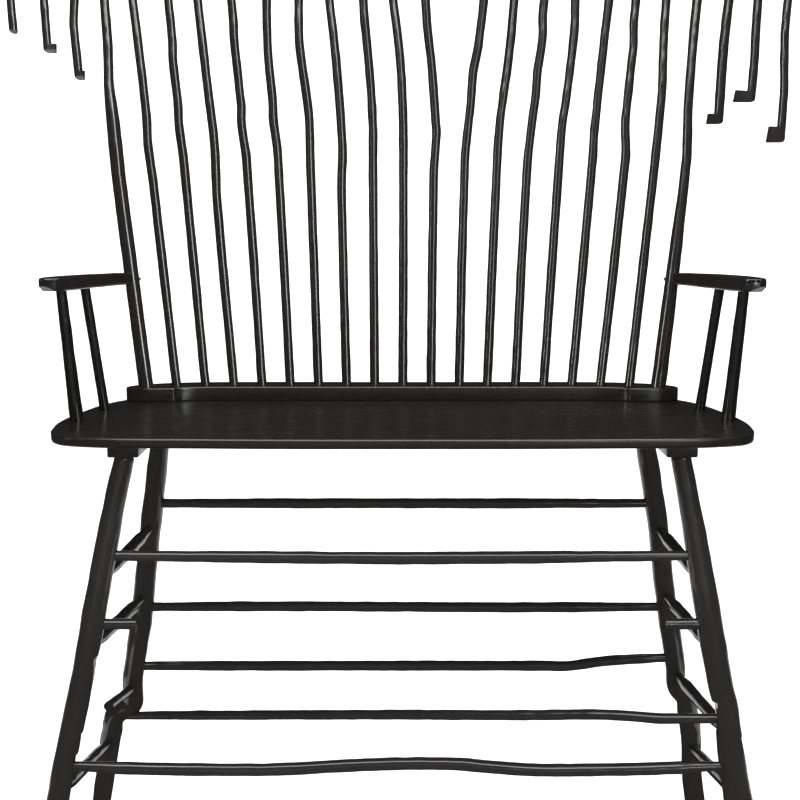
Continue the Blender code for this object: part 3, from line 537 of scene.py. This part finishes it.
def buildStick(node):
    low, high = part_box(node)
    trim = stick["trim"]
    spine = spineOf(node, 2, low.z + trim, high.z - trim, stick["step"])
    for knot in spine:
        knot[1] *= stickFatten[node.split("_")[0]]
    rod = shaveRod(stretchEnds(spine, trim, trim), sections["stick"], stick["rings"], stick["twist"])
    hew(rod, "knife", stick["depth"])
    # arm posts take a darker copy of the paint, as painted shade
    paint = "postShadedPaint" if node.startswith("arm_") else "stickPaint"
    finishPiece(rod, node, paint)


def buildSticks():
    uprights = ("spindle_", "back_post_", "arm_post_", "arm_spindle_")
    names = [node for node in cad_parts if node.startswith(uprights)]
    names.remove("spindle_riser")
    for node in sorted(names):
        buildStick(node)
    print("sticks:", len(names))


# drop spindles: a rod that ends in a toe, sawn square on the inner side and rounded on the outer one

drop = {
    "step": 0.018, "rings": 4, "twist": 0.04, "depth": 0.0010,
    "inToe": 0.003,  # where the node is cut to see how high its toe is
    "highestToe": 0.035, "aboveToe": 0.010, "past": 0.045,
    "upright": 0.5, "inwards": 0.35,  # which way the faces look that the toe grows from
    "heel": 0.0085, "heelCuts": 6, "smooth": 32.0,
    "soleTilt": {"left": 24.0, "right": 0.0},
    "higherToe": {"drop_spindle_right_3": 0.004},
    "toeTurn": {"left": 0.0, "right": 2.4},  # how much more than the rod the toe's end leans
}
dropFatten = {
    "drop_spindle_left_1": 1.10, "drop_spindle_left_2": 1.10, "drop_spindle_left_3": 1.18,
    "drop_spindle_right_1": 1.28, "drop_spindle_right_2": 1.18, "drop_spindle_right_3": 1.12,
}


def roundHeel(rod, corner, outwards):
    # flats cut one after another round the lower outer corner
    radius = drop["heel"]
    middle = corner + Vector((-outwards * radius, 0.0, radius))
    for i in range(drop["heelCuts"]):
        turn = math.pi / 2 * (i + 0.5) / drop["heelCuts"]
        facing = Vector((outwards * math.cos(turn), 0.0, -math.sin(turn)))
        cutOff(rod, middle + facing * radius, facing)


def buildDrop(node, side):
    low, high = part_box(node)
    outwards = sides[side]
    tip = low.x if outwards > 0 else high.x
    toeTop = cutAcross(trianglesOf(node), 0, tip + outwards * drop["inToe"])[:, 2].max()
    toeTop += drop["higherToe"].get(node, 0.0)
    hasToe = toeTop < low.z + drop["highestToe"]
    start = (toeTop if hasToe else low.z) + drop["aboveToe"]
    spine = spineOf(node, 2, start, high.z - stick["trim"], drop["step"])
    for knot in spine:
        knot[1] *= dropFatten[node]
    lean = spine[0][0] - spine[1][0]
    sole = spine[0][0] + lean * ((spine[0][0].z - low.z) / -lean.z)
    stretchEnds(spine, drop["past"], stick["trim"])
    rod = shaveRod(spine, sections["stick"], drop["rings"], drop["twist"])
    hew(rod, "knife", drop["depth"])
    if hasToe:
        cutOff(rod, (0.0, 0.0, toeTop), (0.0, 0.0, 1.0), clear=False)
        openMesh(rod)
        pickFaces(
            rod,
            lambda middle, normal: middle.z < toeTop
            and abs(normal.z) < drop["upright"] and normal.x * outwards < -drop["inwards"]
        )
        toe = (tip - sole.x) * -outwards - spine[0][1]
        stride = Vector((-outwards * toe, 0.0, toe * abs(lean.x / lean.z)))
        bpy.ops.mesh.extrude_region_move(TRANSFORM_OT_translate={"value": stride})
        bpy.ops.transform.resize(value=(0.0, 1.0, 1.0), center_override=(tip, 0.0, 0.0))
        bpy.ops.transform.rotate(
            value=math.atan2(lean.x, -lean.z) * drop["toeTurn"][side], orient_axis="Y",
            center_override=(tip, sole.y, (low.z + toeTop) / 2)
        )
        closeMesh()
    cutOff(rod, (0.0, 0.0, low.z), (0.0, 0.0, -1.0))
    cleanMesh(rod)
    roundHeel(rod, sole + Vector((outwards * spine[1][1], 0.0, 0.0)), outwards)
    tilt = math.radians(drop["soleTilt"][side])
    if tilt:
        cutOff(rod, sole + Vector((0.0, spine[1][1], 0.0)), (0.0, -math.sin(tilt), -math.cos(tilt)))
    cleanMesh(rod)
    finishPiece(rod, node, "stickPaint", angle=drop["smooth"])


def buildDrops():
    count = 0
    for side in sides:
        for i in (1, 2, 3):
            buildDrop(f"drop_spindle_{side}_{i}", side)
            count += 1
    print("drop spindles:", count)


# legs: a hewn pole with a rounded shoulder, a turned tenon and a sawn foot

leg = {
    "step": 0.026, "rings": 5, "twist": 0.03, "depth": 0.0028, "fatten": 1.10,
    "neck": 0.0022, "shoulder": 0.006, "shoulderCuts": 5, "tenon": 0.0115, "footEdge": 0.0016,
    "taperFrom": 0.070, "taper": 0.12,  # the top is drawn in a little
    "clear": 0.014,  # the node narrows to its tenon above this far under the neck
    "jogStep": 0.010, "jogRings": 2, "jogTwist": 0.012,
    "lowest": 0.002, "below": 0.030,  # the first cut across the node, and the waste under it
    "adzeBreadth": 0.08,
    "neckStep": 0.0002, "tenonGap": 0.001,
    "footDown": 0.95, "footNear": 0.001,
}
# where a rear leg steps sideways: height, reach above and below, and how much shorter the step is made
jogs = {"leg_rear_left": (0.205, 0.040, 0.50), "leg_rear_right": (0.240, 0.036, 0.50)}
# adze chops on the front legs: height of the stop, side they bite from, bite at the stop, length below it
chops = {
    "leg_front_left": (
        (0.417, 1.0, 0.0044, 0.050), (0.297, 1.0, 0.0036, 0.030), (0.262, 1.0, 0.0042, 0.040),
    ),
    "leg_front_right": ((0.346, -1.0, 0.0046, 0.050), (0.300, 1.0, 0.0030, 0.060)),
}


def chop(pole, spine, height, towards, bite, length):
    middle, radius = min(spine, key=lambda knot: abs(knot[0].z - height))
    lean = (spine[-1][0].x - spine[0][0].x) / (spine[-1][0].z - spine[0][0].z)
    heart = Vector((middle.x, middle.y, height - length / 2))
    heart.x += lean * (heart.z - middle.z) + towards * (radius + length / 2 - bite / 2)
    deselect()
    bpy.ops.mesh.primitive_cube_add(
        size=1.0, location=heart, scale=(length, leg["adzeBreadth"], length),
        rotation=(0.0, math.atan(lean) - towards * math.atan(bite / length), 0.0)
    )
    adze = bpy.context.object
    applyStep(pole, "BOOLEAN", {"object": adze, "operation": "DIFFERENCE", "solver": "EXACT"})
    bpy.data.objects.remove(adze)


def turnTenon(pole, spot, up, radius, length):
    # the shoulder is drawn in by small steps, and the tenon rises from it
    openMesh(pole)
    pickFaces(pole, lambda middle, normal: normal.dot(up) > 0.999 and (middle - spot).length < radius)
    across, rise = radius, 0.0
    for i in range(1, leg["shoulderCuts"] + 1):
        turn = math.pi / 2 * i / leg["shoulderCuts"]
        nextAcross = radius - leg["shoulder"] * (1.0 - math.cos(turn))
        nextRise = leg["shoulder"] * math.sin(turn)
        bpy.ops.mesh.extrude_region_move(TRANSFORM_OT_translate={"value": up * (nextRise - rise)})
        share = nextAcross / across
        bpy.ops.transform.resize(value=(share, share, share), center_override=spot + up * nextRise)
        across, rise = nextAcross, nextRise
    bpy.ops.mesh.extrude_region_move(TRANSFORM_OT_translate={"value": up * leg["neckStep"]})
    share = leg["tenon"] / across
    bpy.ops.transform.resize(value=(share, share, share), center_override=spot + up * rise)
    bpy.ops.mesh.extrude_region_move(TRANSFORM_OT_translate={"value": up * (length - rise)})
    closeMesh()


def buildLeg(node, side):
    low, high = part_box(node)
    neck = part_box("cleat_" + side)[0].z - leg["neck"]
    step, rings, twist = leg["step"], leg["rings"], leg["twist"]
    if node in jogs:
        step, rings, twist = leg["jogStep"], leg["jogRings"], leg["jogTwist"]
    spine = spineOf(node, 2, low.z + leg["lowest"], neck - leg["clear"], step)
    if node in jogs:
        height, reach, share = jogs[node]
        for knot in spine:
            if abs(knot[0].z - height) < reach:
                knot[0].z = height + (knot[0].z - height) * share
    for knot in spine:
        nearTop = max(0.0, 1.0 - (neck - knot[0].z) / leg["taperFrom"])
        knot[1] *= leg["fatten"] * (1.0 - leg["taper"] * nearTop)
    up = (spine[-1][0] - spine[-2][0]).normalized()
    shoulder = spine[-1][0] + up * ((neck - spine[-1][0].z) / up.z - leg["shoulder"])
    radius = spine[-1][1]
    stretchEnds(spine, leg["below"], leg["clear"] * 2)
    pole = shaveRod(spine, sections["leg"], rings, twist)
    hew(pole, "axe", leg["depth"])
    cutOff(pole, (0.0, 0.0, low.z), (0.0, 0.0, -1.0))
    cutOff(pole, shoulder, up)
    cleanMesh(pole)
    for height, towards, bite, length in chops.get(node, ()):
        chop(pole, spine, height, towards, bite, length)
    openMesh(pole)
    pickFaces(
        pole,
        lambda middle, normal: normal.z < -leg["footDown"] and middle.z < low.z + leg["footNear"]
    )
    bpy.ops.mesh.bevel(offset=leg["footEdge"], segments=3, affect="EDGES")
    closeMesh()
    turnTenon(pole, shoulder, up, radius, (high.z - shoulder.z) / up.z - leg["tenonGap"])
    cleanMesh(pole)
    # the legs take a lighter copy of the paint, as painted light
    finishPiece(pole, node, "legLitPaint")


def buildLegs():
    for end in ("front", "rear"):
        for side in sides:
            buildLeg(f"leg_{end}_{side}", side)
    print("legs: 4")


# stretchers between the legs and the short pegs beside them

bar = {
    "step": 0.024, "rings": 5, "trim": 0.004, "twist": 0.04, "depth": 0.0013,
    "pegEdge": 0.0006, "pegSlant": 0.40, "endNear": 0.006, "endFacing": 0.95,
}
barFatten = {"front": 1.13, "cross": 1.10, "rear": 1.18, "side": 1.16, "leg": 1.12}


def buildBar(node, axis, paint, freeEnd=0):
    low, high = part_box(node)
    trim = bar["trim"]
    spine = spineOf(node, axis, low[axis] + trim, high[axis] - trim, bar["step"])
    for knot in spine:
        knot[1] *= barFatten[node.split("_")[0]]
    rod = shaveRod(stretchEnds(spine, trim, trim), sections["stick"], bar["rings"], bar["twist"])
    hew(rod, "knife", bar["depth"])
    if freeEnd:
        end, radius = spine[-1] if freeEnd > 0 else spine[0]
        facing = Vector((0.0, 0.0, 0.0))
        facing[axis] = freeEnd
        if axis == 0:  # the pegs that point sideways are sawn a little aslant
            facing.y = bar["pegSlant"]
            cutOff(rod, end + Vector((0.0, -radius, 0.0)), facing)
        facing.normalize()
        openMesh(rod)
        pickFaces(
            rod,
            lambda middle, normal: (middle - end).length < bar["endNear"]
            and normal.dot(facing) > bar["endFacing"]
        )
        bpy.ops.mesh.bevel(offset=bar["pegEdge"], segments=3, affect="EDGES")
        closeMesh()
        cleanMesh(rod)
    finishPiece(rod, node, paint)


def buildBars():
    names = [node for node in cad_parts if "stretcher" in node]
    for node in sorted(names):
        if node.startswith("side_"):
            buildBar(node, 1, "sidePaint")
        else:
            # the crosswise stretchers take a lighter copy of the paint, as painted light
            buildBar(node, 0, "crossLitPaint")
    buildBar("leg_peg_left", 0, "crossLitPaint", freeEnd=1)
    buildBar("leg_peg_right", 0, "crossLitPaint", freeEnd=-1)
    buildBar("leg_peg_rear", 1, "sidePaint", freeEnd=-1)
    print("stretchers:", len(names), "and 3 pegs")


# flat pieces cut to a drawn outline: seat plank, riser and crest


saw = {"level": 0.9999, "sharp": 30.0, "inset": 0.5}


def sawOutline(half, thickness, look, creases=()):
    # half is the right-hand side of the outline, and the left-hand side mirrors it
    outline = list(half) + [(-x, y) for x, y in reversed(half) if x > 0.0]
    deselect()
    bpy.ops.curve.primitive_bezier_circle_add()
    plank = bpy.context.object
    line = plank.data
    line.dimensions = "2D"
    line.fill_mode = "BOTH"
    line.extrude = thickness / 2
    line.resolution_u = look["steps"]
    knots = line.splines[0].bezier_points
    knots.add(len(outline) - len(knots))
    for knot, (x, y) in zip(knots, outline):
        handle = "VECTOR" if (abs(x), y) in creases else "AUTO"
        knot.handle_left_type = handle
        knot.handle_right_type = handle
        knot.co = (x, y, 0.0)
    bpy.ops.object.convert(target="MESH")
    plank = bpy.context.object
    cleanMesh(plank)
    for up in (1.0, -1.0):  # one clean face on each broad side
        openMesh(plank)
        pickFaces(plank, lambda middle, normal: normal.z * up > saw["level"])
        bpy.ops.mesh.dissolve_faces()
        closeMesh()
    openMesh(plank, "EDGE")  # every arris is rounded off, the upright ones too
    pickSharp(plank, saw["sharp"])
    bpy.ops.mesh.bevel(offset=look["edge"], segments=look["roundings"], affect="EDGES")
    closeMesh()
    for up in (1.0, -1.0):
        openMesh(plank)
        pickFaces(plank, lambda middle, normal: normal.z * up > saw["level"])
        bpy.ops.mesh.inset(thickness=look["edge"] * saw["inset"])
        closeMesh()
    cleanMesh(plank)
    return plank


seat = {
    "bow": 0.015, "corner": 0.056, "taper": 0.038, "rearCorner": 0.050,
    "edge": 0.0034, "steps": 14, "roundings": 5,
}


def seatOutline(half, depth):
    bow, corner, rear = seat["bow"], seat["corner"], seat["rearCorner"]
    back = half - seat["taper"]
    return (
        (0.0, -bow),
        (half * 0.55, -bow * 0.65),
        (half - corner, corner * 0.14),
        (half - corner * 0.52, corner * 0.45),
        (half - corner * 0.21, corner * 1.10),
        (half - corner * 0.07, corner * 1.90),
        (half, depth * 0.33),
        (half - seat["taper"] * 0.35, depth * 0.585),
        (back, depth * 0.79),
        (back - rear * 0.68, depth - rear),
        (back - rear * 1.80, depth - rear * 0.26),
        (back - rear * 3.40, depth),
        (0.0, depth),
    )


def buildSeat():
    low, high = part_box("seat_plank")
    half, depth = (high.x - low.x) / 2, high.y - low.y - seat["bow"]
    plank = sawOutline(seatOutline(half, depth), high.z - low.z, seat)
    centreOn(plank, "seat_plank")
    # the seat takes a darker copy of the paint, as painted shade
    finishPiece(plank, "seat_plank", "seatPaint")
    print("seat plank")


riser = {
    "depth": 0.094, "cove": 0.020, "block": 0.087, "sweep": 0.070, "corner": 0.050,
    "edge": 0.0022, "steps": 3, "roundings": 4,
}


def riserOutline(half):
    depth, cove, sweep, corner = riser["depth"], riser["cove"], riser["sweep"], riser["corner"]
    block = half - riser["block"]
    return (
        (0.0, cove),
        (block - sweep, cove),
        (block - sweep * 0.62, cove * 0.92),
        (block - sweep * 0.32, cove * 0.70),
        (block - sweep * 0.12, cove * 0.38),
        (block, 0.0),
        (half - corner * 0.36, corner * 0.02),
        (half - corner * 0.08, corner * 0.20),
        (half, corner * 0.48),
        (half - corner * 0.24, depth - corner * 0.92),
        (half - corner * 0.90, depth - corner * 0.46),
        (half - corner * 1.80, depth - corner * 0.16),
        (half - corner * 3.00, depth),
        (0.0, depth),
    )


def buildRiser():
    low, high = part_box("spindle_riser")
    half = (high.x - low.x) / 2
    crease = (half - riser["block"], 0.0)
    strip = sawOutline(riserOutline(half), high.z - low.z, riser, [crease])
    centreOn(strip, "spindle_riser")
    finishPiece(strip, "spindle_riser", "riserPaint")
    print("spindle riser")


crest = {
    "rake": 8.0, "thickness": 0.028, "endHeight": 0.058, "height": 0.084,
    "edge": 0.005, "steps": 3, "roundings": 5,
}


def crestOutline(half):
    end, height = crest["endHeight"], crest["height"]
    return (
        (0.0, 0.0),
        (half - end * 1.20, 0.0),
        (half - end * 0.31, end * 0.10),
        (half, end * 0.52),
        (half - end * 0.38, end * 0.93),
        (half - end * 1.45, end),
        (half * 0.48, end + (height - end) * 0.76),
        (0.0, height),
    )


def buildCrest():
    low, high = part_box("crest_rail")
    rail = sawOutline(crestOutline((high.x - low.x) / 2), crest["thickness"], crest)
    rail.rotation_euler.x = math.radians(90.0 - crest["rake"])
    activate(rail)
    bpy.ops.object.transform_apply(location=False, rotation=True, scale=False)
    centreOn(rail, "crest_rail")
    # the crest takes the lighter copy used on the crosswise stretchers, as painted light
    finishPiece(rail, "crest_rail", "crossLitPaint")
    print("crest rail")


# cleats: planed bars under the seat

cleat = {"edge": 0.0024, "roundings": 3, "long": 0.1, "cuts": 12, "depth": 0.0006}


def buildCleats():
    for side in sides:
        node = "cleat_" + side
        low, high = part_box(node)
        deselect()
        bpy.ops.mesh.primitive_cube_add(size=1.0, location=(low + high) / 2, scale=high - low)
        block = bpy.context.object
        bpy.ops.object.transform_apply(location=True, rotation=True, scale=True)
        openMesh(block, "EDGE")
        bpy.ops.mesh.select_all(action="SELECT")
        bpy.ops.mesh.bevel(offset=cleat["edge"], segments=cleat["roundings"], affect="EDGES")
        bpy.ops.mesh.select_all(action="DESELECT")
        pickEdges(block, lambda a, b: abs(a.y - b.y) > cleat["long"])
        bpy.ops.mesh.subdivide(number_cuts=cleat["cuts"])
        closeMesh()
        hew(block, "knife", cleat["depth"])
        finishPiece(block, node, "cleatPaint")
    print("cleats: 2")


# arms: a block drawn out station by station from the back post to the nose, which is then carved

arm = {
    "stations": 15, "noseStations": 6, "nose": 0.022,
    "sharp": 50.0, "edge": 0.0032, "roundings": 3, "smoothings": 2, "smooth": 30.0,
    "touch": 0.00001,  # slack when the last station's end face is picked
    "end": 0.005,  # from the back post's middle to the sawn end
    "whole": 0.0150,  # the node is hollowed for the post behind this
    "thicken": 1.08,
    "swell": {"left": 0.09, "right": 0.17},  # the arm is thicker half way along
    "sag": {"left": 0.0006, "right": 0.0015},  # and its nose hangs a little
    "flats": (((0.30, 0.50, -0.81), 0.0052), ((0.90, 0.25, -0.75), 0.0034)),  # cut under the nose
}
chipper = {"near": 0.003, "sink": 0.8, "roll": 45.0}
# notches in the nose's upper arris: share of the way outwards, size and turn
chips = {
    "left": ((0.69, 0.0040, 20.0), (0.81, 0.0036, 35.0)),
    "right": ((0.24, 0.0050, 20.0), (0.40, 0.0046, 40.0), (0.58, 0.0050, 30.0)),
}


def armStations(node, side):
    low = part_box(node)[0]
    pegLow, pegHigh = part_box("arm_peg_" + side)
    postMiddle = (pegLow.y + pegHigh.y) / 2
    whole = postMiddle - arm["whole"]
    triangles = trianglesOf(node)
    places = list(np.linspace(whole, low.y + arm["nose"], arm["stations"]))
    for i in range(1, arm["noseStations"]):
        turn = math.pi / 2 * i / arm["noseStations"]
        places.append(low.y + arm["nose"] * (1.0 - math.sin(turn)))
    stations = []
    for y in places:
        cut = cutAcross(triangles, 1, y)
        least, most = cut.min(axis=0), cut.max(axis=0)
        share = (whole - y) / (whole - low.y)
        thicker = arm["thicken"] + arm["swell"][side] * math.sin(math.pi * share)
        middle = Vector((least + most) / 2) - Vector((0.0, 0.0, arm["sag"][side] * share))
        stations.append((middle, (most - least) * (1.0, 1.0, thicker)))
    middle, size = stations[0]
    stations.insert(0, (middle + Vector((0.0, arm["whole"] - arm["end"], 0.0)), size))
    return stations


def carveNose(block, side):
    outwards = sides[side]
    for (out, forward, up), depth in arm["flats"]:
        facing = Vector((out * outwards, -forward, up)).normalized()
        reach = max(corner.co.dot(facing) for corner in block.data.vertices)
        cutOff(block, facing * (reach - depth), facing)
    noseEnd = boxOf(block)[0].y + arm["nose"]
    nose = [corner.co.copy() for corner in block.data.vertices if corner.co.y < noseEnd]
    inner, outer = sorted((min(spot.x for spot in nose), max(spot.x for spot in nose)), key=abs)
    for share, size, turn in chips[side]:
        x = inner + (outer - inner) * share
        near = [spot for spot in nose if abs(spot.x - x) < chipper["near"]]
        front = min(spot.y for spot in near)
        top = max(spot.z for spot in near)
        deselect()
        bpy.ops.mesh.primitive_cube_add(
            size=size, location=(x, front, top - size * chipper["sink"]),
            rotation=(math.radians(turn), math.radians(chipper["roll"]), math.radians(turn * outwards))
        )
        chisel = bpy.context.object
        applyStep(block, "BOOLEAN", {"object": chisel, "operation": "DIFFERENCE", "solver": "EXACT"})
        bpy.data.objects.remove(chisel)


def buildArm(side):
    node = "arm_" + side
    stations = armStations(node, side)
    middle, size = stations[0]
    after = stations[1][0]
    deselect()
    bpy.ops.mesh.primitive_cube_add(
        size=1.0, location=(middle + after) / 2, scale=(size[0], middle.y - after.y, size[2])
    )
    block = bpy.context.object
    bpy.ops.object.transform_apply(location=True, rotation=True, scale=True)
    openMesh(block)
    bpy.ops.mesh.select_all(action="SELECT")
    bpy.ops.mesh.bisect(plane_co=middle, plane_no=(1.0, 0.0, 0.0))
    for (before, wide), (after, nextWide) in zip(stations[1:], stations[2:]):
        pickFaces(block, lambda spot, normal: spot.y < before.y + arm["touch"] and normal.y < -0.9)
        bpy.ops.mesh.extrude_region_move(TRANSFORM_OT_translate={"value": after - before})
        bpy.ops.transform.resize(
            value=(nextWide[0] / wide[0], 1.0, nextWide[2] / wide[2]), center_override=after
        )
    closeMesh()
    cleanMesh(block)
    openMesh(block, "EDGE")
    pickSharp(block, arm["sharp"])
    bpy.ops.mesh.bevel(offset=arm["edge"], segments=arm["roundings"], affect="EDGES")
    closeMesh()
    applyStep(block, "SUBSURF", {"levels": arm["smoothings"], "render_levels": arm["smoothings"]})
    carveNose(block, side)
    cleanMesh(block)
    # the arms take a darker copy of the paint, as painted shade
    finishPiece(block, node, "armPaint", angle=arm["smooth"])


def buildArms():
    for side in sides:
        buildArm(side)
    print("arms: 2")


# pegs through the back posts: a thin shank with a domed head

peg = {"step": 0.0012, "rings": 3, "trim": 0.0006, "weld": 0.0002, "smooth": 60.0}


def buildArmPegs():
    for side in sides:
        node = "arm_peg_" + side
        low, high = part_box(node)
        spine = spineOf(node, 0, low.x + peg["trim"], high.x - peg["trim"], peg["step"])
        pin = shaveRod(spine, sections["peg"], peg["rings"], 0.0)
        cleanMesh(pin, peg["weld"])
        finishPiece(pin, node, "pegPaint", angle=peg["smooth"])
    print("arm pegs: 2")


setCamera()
coats = {name: blackPaint(name, look) for name, look in paints.items()}
buildStage()
hangLamps()
marks = {name: toolMarks(name) for name in markSizes}
sections = {name: drawSection(name) for name in shaved}
buildSeat()
buildRiser()
buildCleats()
buildCrest()
buildSticks()
buildDrops()
buildArms()
buildArmPegs()
buildLegs()
buildBars()
for section in sections.values():
    bpy.data.objects.remove(section)
deselect()
